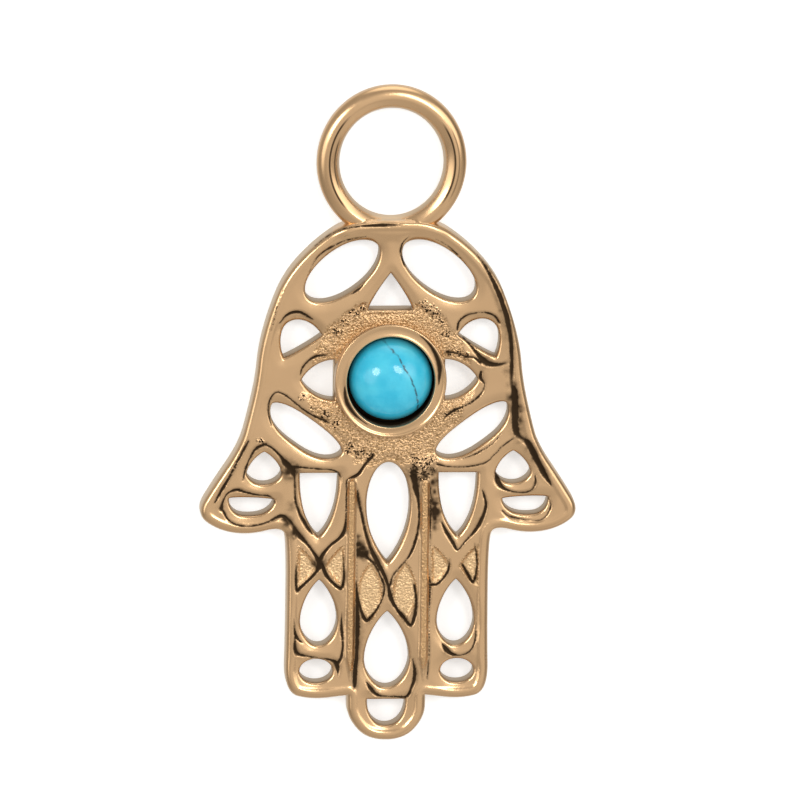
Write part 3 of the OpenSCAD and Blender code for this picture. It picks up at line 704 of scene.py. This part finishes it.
# %% The walls and the back
back_break, wall_drop = 0.06, 0.5
bpy.ops.object.mode_set(mode="EDIT")
bpy.ops.mesh.select_mode(type="EDGE")
bpy.ops.mesh.select_all(action="DESELECT")
bpy.ops.mesh.select_non_manifold(
    use_wire=False, use_boundary=True, use_multi_face=False, use_non_contiguous=False, use_verts=False
)
bpy.ops.mesh.extrude_region_move(TRANSFORM_OT_translate={"value": (0, 0, -wall_drop * MM)})
bpy.ops.transform.resize(value=(1, 1, 0), center_override=(0, 0, back_break * MM))
bpy.ops.mesh.extrude_region_move(TRANSFORM_OT_translate={"value": (0, 0, -back_break * MM)})
bpy.ops.transform.shrink_fatten(value=-back_break * MM)
bpy.ops.transform.resize(value=(1, 1, 0), center_override=(0, 0, 0))
bpy.ops.mesh.fill(use_beauty=True)
bpy.ops.mesh.select_all(action="SELECT")
bpy.ops.mesh.normals_make_consistent(inside=False)
bpy.ops.mesh.select_all(action="DESELECT")
bpy.ops.mesh.select_non_manifold()
bpy.ops.object.mode_set(mode="OBJECT")
open_edges = sum(e.select for e in hand.data.edges)
print("the plate has", len(hand.data.polygons), "faces and", open_edges, "open edges")

# %% [markdown]
# ## The setting
#
# The stone's collar on the real pendant is a ring of metal with a raised rim, and a smooth channel that
# runs down to a thin inner lip against the stone. A turner would make it on a lathe, so its section is
# drawn once and spun round the stone's centre. In the photo its rim and lip lie a little nearer the ring
# and are slightly taller than round, so the points near the top are moved last.

# %% Turning a piece from its section
weld_gap = 0.001


def spun(name, section, steps, centre, closed=True):
    """A piece turned round an upright axis. Its section is radius and height in millimetres."""
    x, y = centre
    count = len(section)
    edges = [(i, (i + 1) % count) for i in range(count if closed else count - 1)]
    obj = piece_from(name, [(x + r, y, z) for r, z in section], edges, [])
    bpy.ops.object.mode_set(mode="EDIT")
    bpy.ops.mesh.select_all(action="SELECT")
    bpy.ops.mesh.spin(steps=steps, angle=2 * math.pi, center=(x * MM, y * MM, 0), axis=(0, 0, 1))
    bpy.ops.mesh.select_all(action="SELECT")
    bpy.ops.mesh.remove_doubles(threshold=weld_gap * MM)
    bpy.ops.mesh.normals_make_consistent(inside=False)
    bpy.ops.object.mode_set(mode="OBJECT")
    return obj


# %% The collar, spun from its section
# Columns: distance from the centre, height
collar_section = [
    (2.10, 0.30), (2.64, 0.30), (2.65, 0.94), (2.70, 1.00), (2.70, 1.06), (2.685, 1.12), (2.675, 1.20),
    (2.67, 1.34), (2.665, 1.50), (2.66, 1.68), (2.655, 1.79), (2.645, 1.835), (2.62, 1.868), (2.59, 1.878),
    (2.56, 1.872), (2.52, 1.855), (2.47, 1.836), (2.42, 1.826), (2.36, 1.822), (2.30, 1.826), (2.24, 1.838),
    (2.19, 1.854), (2.15, 1.864), (2.122, 1.857), (2.105, 1.83), (2.10, 1.79), (2.10, 1.60), (2.10, 1.40),
    (2.10, 1.20), (2.10, 0.90),
]
lip_taller, lip_higher = 1.045, 0.035
rim_taller, rim_higher = 1.035, 0.085
collar = spun("collar", collar_section, steps=180, centre=(0, stone_y))
for vertex in collar.data.vertices:
    from_middle = math.hypot(vertex.co.x, vertex.co.y - stone_y * MM) / MM
    outer = float(ease(2.33, 2.55, from_middle))
    raised = float(ease(1.0, 1.8, vertex.co.z / MM)) if from_middle > 2.6 else 1.0
    taller = 1 + raised * (lip_taller - 1 + (rim_taller - lip_taller) * outer)
    higher = raised * (lip_higher + (rim_higher - lip_higher) * outer)
    vertex.co.y = (stone_y + higher) * MM + (vertex.co.y - stone_y * MM) * taller
print("the collar has", len(collar.data.polygons), "faces")

# %% [markdown]
# ## The bail ring
#
# The ring at the top is cast on, a touch taller than it is wide, and its wire has a soft crest nearer the
# hole, where a polishing wheel has worn it flatter inside. A torus would be too even, so its section is
# drawn and spun, as the collar's is. The wire runs into the hand's top edge, where the two become one.

# %% The ring, spun from its section
# Columns: distance outwards from the wire's middle, height above it
wire_section = [
    (0.55, -0.02), (0.545, 0.12), (0.51, 0.26), (0.44, 0.37), (0.33, 0.46), (0.18, 0.525), (0.04, 0.552),
    (-0.04, 0.548), (-0.10, 0.528), (-0.22, 0.468), (-0.34, 0.405), (-0.40, 0.355), (-0.46, 0.25),
    (-0.52, 0.10), (-0.55, -0.04), (-0.54, -0.16), (-0.49, -0.28), (-0.41, -0.38), (-0.29, -0.47),
    (-0.15, -0.53), (0, -0.55), (0.15, -0.53), (0.29, -0.47), (0.40, -0.38), (0.48, -0.27), (0.53, -0.15),
]
wire = 0.55
ring_centre = 3.04
ring_narrower, ring_taller = 0.995, 1.045
ring_y = ring_top_y + 0.02 - (ring_centre + wire) * ring_taller
ring_z = 0.63
ring_section = [(ring_centre + out, ring_z + above) for out, above in wire_section]
ring = spun("bail_ring", ring_section, steps=168, centre=(0, ring_y))
ring_middle = (0, ring_y * MM, ring_z * MM)
bpy.ops.object.mode_set(mode="EDIT")
bpy.ops.mesh.select_all(action="SELECT")
bpy.ops.transform.resize(value=(ring_narrower, ring_taller, 1), center_override=ring_middle)
bpy.ops.object.mode_set(mode="OBJECT")
print("the ring's centre is at y", round(ring_y, 3), "mm")

# %% [markdown]
# ## One casting
#
# The hand, collar and ring came out of the mould as one piece of metal, so they are joined here into one
# closed skin, with no hidden faces inside. The finish is then worked out for every point of the skin, from
# the same rule that carved it: where the metal is stippled, where a groove holds dark patina, and where
# shade is painted round the grooves and in recesses. Painted shade and a dark reflection are then added in
# the collar's seat and channel.

# %% Joining the parts of the casting
smooth_under = math.radians(50)
for part in (collar, ring):
    only(hand)
    union = hand.modifiers.new("join " + part.name, "BOOLEAN")
    union.operation, union.solver, union.object = "UNION", "MANIFOLD", part
    bpy.ops.object.modifier_apply(modifier=union.name)
    bpy.data.objects.remove(part)
only(hand)
bpy.ops.object.shade_smooth_by_angle(angle=smooth_under)
print("the casting has", len(hand.data.polygons), "faces")

# %% What the carving says about every point of the skin
face_slack = 0.03
skin = np.empty(len(hand.data.vertices) * 3)
hand.data.vertices.foreach_get("co", skin)
skin = skin.reshape(-1, 3) / MM
across, along, level = skin.T
spot = skin[:, :2] - (0, stone_y)
radius = np.hypot(*spot.T)
carved = carve(spot)
on_face = (abs(level - carved[0]) < face_slack) & (radius > slope_outside)
grain, dark, core, pits = (np.where(on_face, values, 0.0) for values in carved[1:])
print(on_face.sum(), "of", len(skin), "points lie on the carved face")

# %% Painted shade in the seat, patina and painted shade along the collar's foot, and painted shade in its channel
# Crescents of painted shade in the channel: a painted dark reflection at the upper right and the gap's
# painted shadow at the lower left. Columns: angle, distance from the middle, half width
upper_crescent = [
    (-6, 2.26, .01), (6, 2.30, .09), (18, 2.40, .16), (32, 2.45, .13), (46, 2.50, .08), (62, 2.54, .01),
]
lower_crescent = [
    (-179, 2.20, .01), (-168, 2.24, .09), (-154, 2.30, .14), (-142, 2.27, .11), (-132, 2.25, .06),
    (-118, 2.23, .01),
]
collar_foot, foot_half = 2.71, 0.04
lip_oval = np.hypot(spot[:, 0], (spot[:, 1] - lip_higher) / lip_taller)
rim_oval = np.hypot(spot[:, 0], (spot[:, 1] - rim_higher) / rim_taller)
# The seat's walls are painted dark as shade in the narrow gap round the stone, darkest lowest.
in_seat = (lip_oval < seat_radius + 0.02) & (level < 1.80)
dark = np.where(in_seat, 0.60 + 0.32 * ease(1.50, 1.2, level), dark)
# A dark line round the collar's foot: patina in the joint, darkened further towards the lower side as
# painted shade.
foot = np.exp(-(((radius - collar_foot) / foot_half) ** 2)) * (level < 1.2) * (level > 0.8)
foot *= 0.35 + 0.65 * ease(1.5, -1.5, spot[:, 1])
dark = np.maximum(dark, foot * (0.30 + 0.5 * speckle(spot, 0.8, 21)))
angle = np.degrees(np.arctan2(spot[:, 1], spot[:, 0]))
for crescent, out in ((upper_crescent, rim_oval), (lower_crescent, lip_oval)):
    turned, centres, widths = np.array(crescent).T
    off = (out - np.interp(angle, turned, centres)) / np.interp(angle, turned, widths)
    shadow = np.exp(-(abs(off) ** 2.4)) * (angle > turned[0]) * (angle < turned[-1])
    dark = np.maximum(dark, 0.95 * (level > 1.6) * shadow)
print("dark patina on", (dark > 0.5).sum(), "points")

# %% Walls as they were cast, with a painted reflection, painted shade on the walls inside the outline, and the marks laid on the piece
normals = np.empty(len(skin) * 3)
hand.data.vertex_normals.foreach_get("vector", normals)
upward = normals.reshape(-1, 3)[:, 2]
# Steep walls, and the ring's steeper faces, get a paler, greyer gold: partly unpolished cast metal, partly a
# painted reflection of the white table, which the metal is not let to see.
steep = ease(0.68, 0.15, upward)
on_ring = along > ring_top_y - 2 * (ring_centre + wire) * ring_taller + 0.5
from_ring = np.hypot(across / ring_narrower, (along - ring_y) / ring_taller)
wire_wall = np.where(from_ring < ring_centre, ease(0.75, 0.25, upward), 0.8 * ease(0.40, -0.05, upward))
cast = np.where(on_ring, wire_wall, steep)
# Steep walls inside the outline, away from the setting and the ring, such as those of the openings, are
# marked for painted shade.
pierced = steep * (distance_to(hand_line, spot) < -0.25) * (radius > 2.75) * ~on_ring
finish = {"grain": grain, "patina_and_shade": dark, "core": core, "pits": pits, "cast": cast, "pierced": pierced}
for name, values in finish.items():
    layer = hand.data.attributes.new(name, "FLOAT", "POINT")
    layer.data.foreach_set("value", np.ascontiguousarray(values, np.float32))
print("finish marked on", len(skin), "points:", ", ".join(finish))

# %% [markdown]
# ## The stone
#
# The cabochon is a low polished dome with a straight edge that stands in the collar. It is turned like the
# collar, from half of its section.

# %% The stone, spun from its section
stone_radius, edge_top, stone_bottom = 2.0, 1.4, 0.5
dome_height, dome_steps = 1.2, 40
dome_radius = (stone_radius**2 + dome_height**2) / (2 * dome_height)
dome_centre = edge_top + dome_height - dome_radius
sweep = math.asin(stone_radius / dome_radius)
stone_section = [
    (0, stone_bottom), (1.9, stone_bottom), (1.97, 0.52), (stone_radius, 0.6), (stone_radius, 0.95),
    (stone_radius, edge_top - 0.1), (stone_radius - 0.018, edge_top + 0.012),
]
for k in range(1, dome_steps + 1):
    angle = sweep * (1 - k / dome_steps)
    stone_section.append((dome_radius * math.sin(angle), dome_centre + dome_radius * math.cos(angle)))
stone_x, stone_mid = 0.01, stone_y + 0.11
stone = spun("cabochon", stone_section, steps=160, centre=(stone_x, stone_mid), closed=False)
bpy.ops.object.shade_smooth_by_angle(angle=smooth_under)
print("the stone has", len(stone.data.polygons), "faces")

# %% [markdown]
# ## The finishes
#
# Metal and stone were polished on the same wheel, which leaves fine marks on both. The marks could be drawn
# in each material, but then a change would have to be made twice, so both take them from one shared group
# of nodes. A few helpers keep the recipes short enough to read. A noise's scale is in cells to a metre, so
# 1000 is a change about every millimetre.


# %% Small helpers for node trees
def node(tree, kind, **values):
    """A node with its named inputs set, or linked where the value is another node's output."""
    made = tree.nodes.new(kind)
    for name, value in values.items():
        if name in ("operation", "data_type", "attribute_name", "interpolation_type"):
            setattr(made, name, value)
            continue
        socket = made.inputs[int(name[1:])] if name[0] == "_" else made.inputs[name.replace("_", " ")]
        if isinstance(value, bpy.types.NodeSocket):
            tree.links.new(value, socket)
        else:
            socket.default_value = value
    return made


def maths(tree, operation, a, b=0.0, c=0.0):
    return node(tree, "ShaderNodeMath", operation=operation, _0=a, _1=b, _2=c).outputs[0]


def times(tree, a, b):
    return maths(tree, "MULTIPLY", a, b)


def vectors(tree, operation, a, b=(0, 0, 0)):
    """What an operation makes of two vectors: a number for a length or a dot product."""
    made = node(tree, "ShaderNodeVectorMath", operation=operation, _0=a, _1=b)
    return made.outputs["Value" if operation in ("LENGTH", "DOT_PRODUCT") else "Vector"]


def noise(tree, where, scale, detail=2.0, roughness=0.5):
    made = node(tree, "ShaderNodeTexNoise", Vector=where, Scale=scale, Detail=detail, Roughness=roughness)
    return made.outputs[0]


def blend(tree, share, a, b):
    return node(tree, "ShaderNodeMix", data_type="RGBA", _0=share, _6=a, _7=b).outputs[2]


def fade(tree, value, low, high, to_low=0.0, to_high=1.0):
    """A value eased from one pair of limits to another."""
    made = node(
        tree, "ShaderNodeMapRange", interpolation_type="SMOOTHSTEP",
        _0=value, _1=low, _2=high, _3=to_low, _4=to_high,
    )
    return made.outputs[0]


# %% The wheel marks that both finishes share
wheel = bpy.data.node_groups.new("wheel marks", "ShaderNodeTree")
wheel.interface.new_socket("Position", in_out="INPUT", socket_type="NodeSocketVector")
wheel.interface.new_socket("Finest", in_out="INPUT", socket_type="NodeSocketFloat")
wheel.interface.new_socket("Unevenness", in_out="OUTPUT", socket_type="NodeSocketFloat")
wheel.interface.new_socket("Height", in_out="OUTPUT", socket_type="NodeSocketFloat")
entry = wheel.nodes.new("NodeGroupInput")
leave = wheel.nodes.new("NodeGroupOutput")
soft = noise(wheel, entry.outputs["Position"], 900.0, 3.0)
drawn = vectors(wheel, "MULTIPLY", entry.outputs["Position"], (1.0, 0.15, 1.0))
finest = times(wheel, noise(wheel, drawn, 9000.0), entry.outputs["Finest"])
wheel.links.new(maths(wheel, "ADD", soft, finest), leave.inputs["Unevenness"])
wheel.links.new(finest, leave.inputs["Height"])


def wheel_marks(tree, position, finest):
    """The shared group, placed in a material: its outputs are Unevenness and Height."""
    marks = tree.nodes.new("ShaderNodeGroup")
    marks.node_tree = wheel
    tree.links.new(position, marks.inputs["Position"])
    marks.inputs["Finest"].default_value = finest
    return marks.outputs


print("the wheel marks are a group of", len(wheel.nodes), "nodes")


# %% A new material
def new_material(name):
    """A material with its node tree, its one shader and the position on the piece."""
    material = bpy.data.materials.new(name)
    material.use_nodes = True
    tree = material.node_tree
    tree.nodes.clear()
    shader = tree.nodes.new("ShaderNodeBsdfPrincipled")
    output = tree.nodes.new("ShaderNodeOutputMaterial")
    tree.links.new(shader.outputs[0], output.inputs[0])
    position = tree.nodes.new("ShaderNodeTexCoord").outputs["Object"]
    return material, tree, shader, position


# %% [markdown]
# ## The gold
#
# The real metal is a warm, slightly pink gold that goes matt where it is stippled, and brown black where
# patina was left. On the walls that the polishing wheel didn't reach it is paler and greyer, which also
# paints in the reflection of the white table there, and inside the outline the walls get a darker brown as
# painted shade. Painted shade and dark reflections are mixed in with the patina. One colour with a dark wash
# by height would blur all that, so each place was marked on the skin, and the marks mix the colours here.

# %% The metal's own colours, with a paler wall colour that is partly a painted reflection, and a brown for painted shade
deep_gold, bright_gold, matt_gold = (0.80, 0.505, 0.262, 1), (0.88, 0.57, 0.31, 1), (1.0, 0.68, 0.37, 1)
core_gold, cast_wall_and_reflection_gold, pierced_gold = (0.60, 0.36, 0.16, 1), (0.80, 0.66, 0.48, 1), (0.46, 0.34, 0.21, 1)
brown, brown_black = (0.31, 0.17, 0.06, 1), (0.042, 0.023, 0.009, 1)
gold, tree, shader, position = new_material("polished gold")
attribute = {
    name: node(tree, "ShaderNodeAttribute", attribute_name=name).outputs["Fac"]
    for name in finish
}
marks = wheel_marks(tree, position, 0.5)
tone = noise(tree, position, 420.0)
granules = noise(tree, position, 11000.0)
cells = node(tree, "ShaderNodeTexVoronoi", Vector=position, Scale=8500.0).outputs["Distance"]
bright = blend(tree, tone, deep_gold, bright_gold)
matt = blend(tree, fade(tree, attribute["grain"], 0.55, 1.0), bright, matt_gold)
cored = blend(tree, times(tree, attribute["core"], 0.72), matt, core_gold)
# Steep walls turn paler and greyer: partly unpolished cast metal, partly a painted reflection of the white
# table.
walled = blend(tree, times(tree, attribute["cast"], 0.85), cored, cast_wall_and_reflection_gold)
# Walls inside the outline are darkened to a brown as painted shade.
walled = blend(tree, times(tree, attribute["pierced"], 0.9), walled, pierced_gold)
flecks = fade(tree, granules, 0.58, 0.40)
flecked = times(tree, attribute["grain"], maths(tree, "MULTIPLY_ADD", attribute["grain"], -2.0, 2.35))
rubbed = blend(tree, times(tree, flecks, flecked), walled, brown)
print("the metal's colours take", len(tree.nodes), "nodes")

# %% Patina in the grooves and pits, with the painted shade marked on the skin
stain = noise(tree, position, 5200.0, 3.0)
uneven = times(tree, maths(tree, "SUBTRACT", stain, 0.5), 0.30)
patina_and_shade = fade(tree, maths(tree, "ADD", attribute["patina_and_shade"], uneven), 0.08, 0.88)
specks = maths(tree, "MULTIPLY_ADD", granules, 0.9, cells)
pitting = times(tree, fade(tree, specks, 1.0, 0.82), fade(tree, attribute["pits"], 0.05, 0.6))
patina_and_shade = maths(tree, "MAXIMUM", patina_and_shade, pitting)
print("the patina brings them to", len(tree.nodes))

# %% Painted dark reflections: fine dark lines along the upper part of the ring's wire, on its left and right
# Columns: radius in mm, where along x the line fades in, where it is full, half width, how dark
painted_ring_reflections = [
    (3.00, -1.9, -2.5, 0.075, 0.95), (2.75, -2.4, -2.65, 0.06, 0.8),
    (3.02, 2.2, 2.7, 0.075, 0.95), (3.22, 2.6, 3.0, 0.06, 0.6),
]
low_on_ring, up_on_ring, wire_top = (ring_y - 3.0) * MM, (ring_y - 2.0) * MM, (ring_z + 0.3) * MM
from_ring = vectors(tree, "SUBTRACT", position, (0, ring_y * MM, 0))
evened = vectors(tree, "MULTIPLY", from_ring, (1 / ring_narrower, 1 / ring_taller, 0))
to_wire = vectors(tree, "LENGTH", evened)
where = node(tree, "ShaderNodeSeparateXYZ", Vector=position).outputs
for reach, begins, full, breadth, darkness in painted_ring_reflections:
    off = maths(tree, "ABSOLUTE", maths(tree, "SUBTRACT", to_wire, reach * MM))
    dark_reflection = fade(tree, off, breadth * MM, 0.25 * breadth * MM)
    dark_reflection = times(tree, dark_reflection, fade(tree, where[0], begins * MM, full * MM))
    dark_reflection = times(tree, dark_reflection, fade(tree, where[1], low_on_ring, up_on_ring))
    dark_reflection = times(tree, dark_reflection, fade(tree, where[2], ring_z * MM, wire_top, 0.0, darkness))
    patina_and_shade = maths(tree, "MAXIMUM", patina_and_shade, dark_reflection)
# The patina, the painted shade and the painted reflections turn the gold brown black here.
coloured = blend(tree, patina_and_shade, rubbed, brown_black)
tree.links.new(coloured, shader.inputs["Base Color"])
tree.links.new(maths(tree, "SUBTRACT", 1.0, times(tree, patina_and_shade, 0.15)), shader.inputs["Metallic"])
print(len(painted_ring_reflections), "dark lines on the ring")

# %% The polish, and the small bumps of the stippled ground
rough = maths(tree, "MULTIPLY_ADD", marks["Unevenness"], 0.12, 0.14)
for duller, share in (
    (attribute["grain"], 0.16), (attribute["core"], 0.16), (attribute["cast"], 0.30), (patina_and_shade, 0.32),
):
    rough = maths(tree, "MULTIPLY_ADD", duller, share, rough)
tree.links.new(rough, shader.inputs["Roughness"])
tooled = times(tree, attribute["grain"], maths(tree, "MULTIPLY_ADD", attribute["grain"], -1.1, 1.5))
tooled = maths(tree, "MAXIMUM", tooled, times(tree, attribute["core"], 0.4))
pebbles = maths(tree, "MULTIPLY_ADD", cells, -1.6, times(tree, granules, 3.0))
bumps = times(tree, pebbles, maths(tree, "MAXIMUM", tooled, attribute["pits"]))
bumps = maths(tree, "MULTIPLY_ADD", marks["Height"], 0.05, bumps)
bump = node(tree, "ShaderNodeBump", Strength=0.6, Distance=0.05 * MM, Height=bumps)
tree.links.new(bump.outputs[0], shader.inputs["Normal"])
hand.data.materials.clear()
hand.data.materials.append(gold)
print("the gold has", len(tree.nodes), "nodes")

# %% [markdown]
# ## The turquoise
#
# The stone is an opaque sky blue with soft clouds, with painted shade darkening its edge where it turns away
# into the collar, and one dark vein runs over the dome from top to bottom. A picture of a stone would need a
# file, so clouds and vein, and the painted shade, are worked out from the place on the stone.

# %% Its mottling, and painted shade at its edge
sky_blue, pale_blue, veil_blue = (0.032, 0.560, 0.800, 1), (0.065, 0.660, 0.890, 1), (0.130, 0.720, 0.870, 1)
edge_shade_blue, slate = (0.020, 0.240, 0.330, 1), (0.030, 0.075, 0.100, 1)
turquoise, tree, shader, position = new_material("turquoise")
centred = vectors(tree, "SUBTRACT", position, (stone_x * MM, stone_mid * MM, 0))
clouds = noise(tree, centred, 1100.0, 4.0, 0.55)
veil = noise(tree, centred, 350.0)
blue = blend(tree, fade(tree, clouds, 0.35, 0.65), sky_blue, pale_blue)
blue = blend(tree, fade(tree, veil, 0.45, 0.70), blue, veil_blue)
axes = node(tree, "ShaderNodeSeparateXYZ", Vector=centred).outputs
plan = node(tree, "ShaderNodeCombineXYZ", X=axes[0], Y=axes[1]).outputs[0]
# Painted shade: the blue darkens towards the dome's edge, where it turns away into the collar.
edge = fade(tree, vectors(tree, "LENGTH", plan), 1.65 * MM, stone_radius * MM)
blue = blend(tree, times(tree, edge, 0.7), blue, edge_shade_blue)
print("the blue takes", len(tree.nodes), "nodes")

# %% The vein
# It lies on a large circle that crosses the dome, wandering a little, and is fainter towards the left.
vein_centre, vein_radius, vein_wander = (-3.694, -1.870, 0), 5.035, 0.22
vein_clear, vein_full = 0.072, 0.015
wander = noise(tree, centred, 2600.0, 3.0)
reach = vectors(tree, "LENGTH", vectors(tree, "SUBTRACT", plan, Vector(vein_centre) * MM))
shifted = maths(tree, "MULTIPLY_ADD", maths(tree, "SUBTRACT", wander, 0.5), vein_wander * MM, reach)
off_vein = maths(tree, "ABSOLUTE", maths(tree, "SUBTRACT", shifted, vein_radius * MM))
vein = fade(tree, off_vein, vein_clear * MM, vein_full * MM)
vein = times(tree, vein, fade(tree, axes[0], -0.45 * MM, 0.20 * MM, 0.45, 1.0))
vein = times(tree, vein, fade(tree, noise(tree, centred, 3800.0), 0.40, 0.56, 0.35, 1.0))
blue = blend(tree, times(tree, vein, 0.85), blue, slate)
tree.links.new(blue, shader.inputs["Base Color"])
whole = maths(tree, "SUBTRACT", 1.0, vein)
sunk = node(tree, "ShaderNodeBump", Strength=0.3, Distance=0.02 * MM, Height=whole)
tree.links.new(sunk.outputs[0], shader.inputs["Normal"])
print("the vein brings it to", len(tree.nodes), "nodes")

# %% Its polish
marks = wheel_marks(tree, position, 0.3)
tree.links.new(maths(tree, "MULTIPLY_ADD", marks["Unevenness"], 0.06, 0.10), shader.inputs["Roughness"])
shader.inputs["IOR"].default_value = 1.5
shader.inputs["Coat Weight"].default_value = 0.4
shader.inputs["Coat Roughness"].default_value = 0.05
stone.data.materials.append(turquoise)
print("the turquoise has", len(tree.nodes), "nodes")

# %% [markdown]
# ## Hiding the CAD solids
#
# Each dressed piece takes the place of the CAD solid of the same form, which is hidden, and rides on the one
# body.

# %% Names and places
for piece, solid, slot in ((hand, "hamsa_casting", "gold_metal"), (stone, "turquoise_stone", "turquoise")):
    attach(piece, "root")
    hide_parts(solid)
print("pieces:", hand.name, "and", stone.name)

# %% [markdown]
# ## Floor, light and camera
#
# The photo was taken on white from a little above and left of straight on, so the lower and right walls of
# the openings show. A jeweller would set such a piece in a soft tent, so the light is a tent with darker
# corners, which draw the polished rims, and two small lamps that leave the two spots on the stone.

# %% The floor
floor_size, floor_glow = 0.6, 0.46
off_white, near_white = (0.90, 0.90, 0.90, 1), (0.94, 0.94, 0.94, 1)
bpy.ops.object.select_all(action="DESELECT")
bpy.ops.mesh.primitive_plane_add(size=floor_size, location=(0, 0, 0))
floor = bpy.context.object
floor.name = "table"
paper, tree, shader, position = new_material("white paper")
fibres = noise(tree, position, 700.0, 4.0)
white = blend(tree, fibres, off_white, near_white)
tree.links.new(white, shader.inputs["Base Color"])
shader.inputs["Roughness"].default_value = 0.9
shader.inputs["Emission Color"].default_value = (1, 1, 1, 1)
shader.inputs["Emission Strength"].default_value = floor_glow
floor.data.materials.append(paper)
floor.visible_glossy = False
print("the floor is", floor_size, "m wide")

# %% The tent of light
world = bpy.data.worlds.new("tent")
bpy.context.scene.world = world
world.use_nodes = True
tree = world.node_tree
tree.nodes.clear()
looking = tree.nodes.new("ShaderNodeTexCoord").outputs["Generated"]
# Columns: direction x, y, z, inner and outer half angle in degrees, brightness
tent = [
    (0.26, 0.10, 0.96, 5, 50, 0.28),
    (0.10, 1.00, -0.05, 10, 34, 1.05),
    (0.70, -0.60, 0.35, 10, 40, 0.25),
    (-0.75, -0.55, 0.25, 15, 45, -0.08),
    (-0.25, -0.86, 0.44, 15, 45, 0.12),
    (-0.77, 0.03, 0.62, 5, 22, 1.15),
    (0.72, 0.22, 0.62, 5, 24, 1.35),
    (0.95, -0.05, 0.15, 15, 50, -0.18),
    (0.0, 0.0, -1.0, 20, 85, 0.45),
]
all_round, darkest = 0.42, 0.03
total = None
for x, y, z, inner, outer, brightness in tent:
    facing = vectors(tree, "DOT_PRODUCT", looking, Vector((x, y, z)).normalized())
    lobe = fade(tree, facing, math.cos(math.radians(outer)), math.cos(math.radians(inner)), 0.0, brightness)
    total = maths(tree, "ADD", lobe, all_round if total is None else total)
total = maths(tree, "MAXIMUM", total, darkest)
sky = node(tree, "ShaderNodeBackground", Color=(1, 1, 1, 1), Strength=total)
output = tree.nodes.new("ShaderNodeOutputWorld")
tree.links.new(sky.outputs[0], output.inputs[0])
print("the tent has", len(tent), "panels")


# %% Two small lamps
def lamp(name, aim, distance, width, tall, brightness):
    """A soft oval lamp, in the direction aim from the pendant. Sizes are in metres."""
    light = bpy.data.lights.new(name, "AREA")
    light.shape, light.size, light.size_y = "ELLIPSE", width, tall
    light.energy = brightness * math.pi * width * tall
    obj = bpy.data.objects.new(name, light)
    bpy.context.scene.collection.objects.link(obj)
    aim = Vector(aim).normalized()
    obj.location = Vector((0, stone_y * MM, 0)) + aim * distance
    obj.rotation_euler = aim.to_track_quat("Z", "Y").to_euler()
    print("the", name, "stands", distance, "m away")


lamp("left lamp", (-0.57, 0.27, 0.77), 0.45, 0.15, 0.15, 5.0)
lamp("right lamp", (0.31, 0.37, 0.87), 0.45, 0.21, 0.12, 4.5)

# %% The camera, where the photographer's was
# It looks at a point just right of and below the stone, and is turned a little, as the photo is.
towards_camera = Vector((-0.07694, 0.21138, 0.97437))
roll = math.radians(0.64)
aim_right, aim_down, aim_height = 0.475, 0.9405, 1.2
camera_distance, lens = 1500, 1420
sideways = Vector((0, 1, 0)).cross(towards_camera).normalized()
upright = towards_camera.cross(sideways)
right = sideways * math.cos(roll) + upright * math.sin(roll)
up = upright * math.cos(roll) - sideways * math.sin(roll)
middle = Vector((0, stone_y, aim_height)) + right * aim_right - up * aim_down
camera_data = bpy.data.cameras.new("camera")
camera_data.sensor_width, camera_data.lens = 36, lens
camera = bpy.data.objects.new("camera", camera_data)
bpy.context.scene.collection.objects.link(camera)
place = (middle + towards_camera * camera_distance) * MM
camera.matrix_world = Matrix((
    (right.x, up.x, towards_camera.x, place.x),
    (right.y, up.y, towards_camera.y, place.y),
    (right.z, up.z, towards_camera.z, place.z),
    (0, 0, 0, 1),
))
camera_data.clip_start, camera_data.clip_end = 0.05, 5
bpy.context.scene.camera = camera
bpy.context.scene.view_settings.view_transform = "Standard"
print("the camera stands", camera_distance, "mm away")
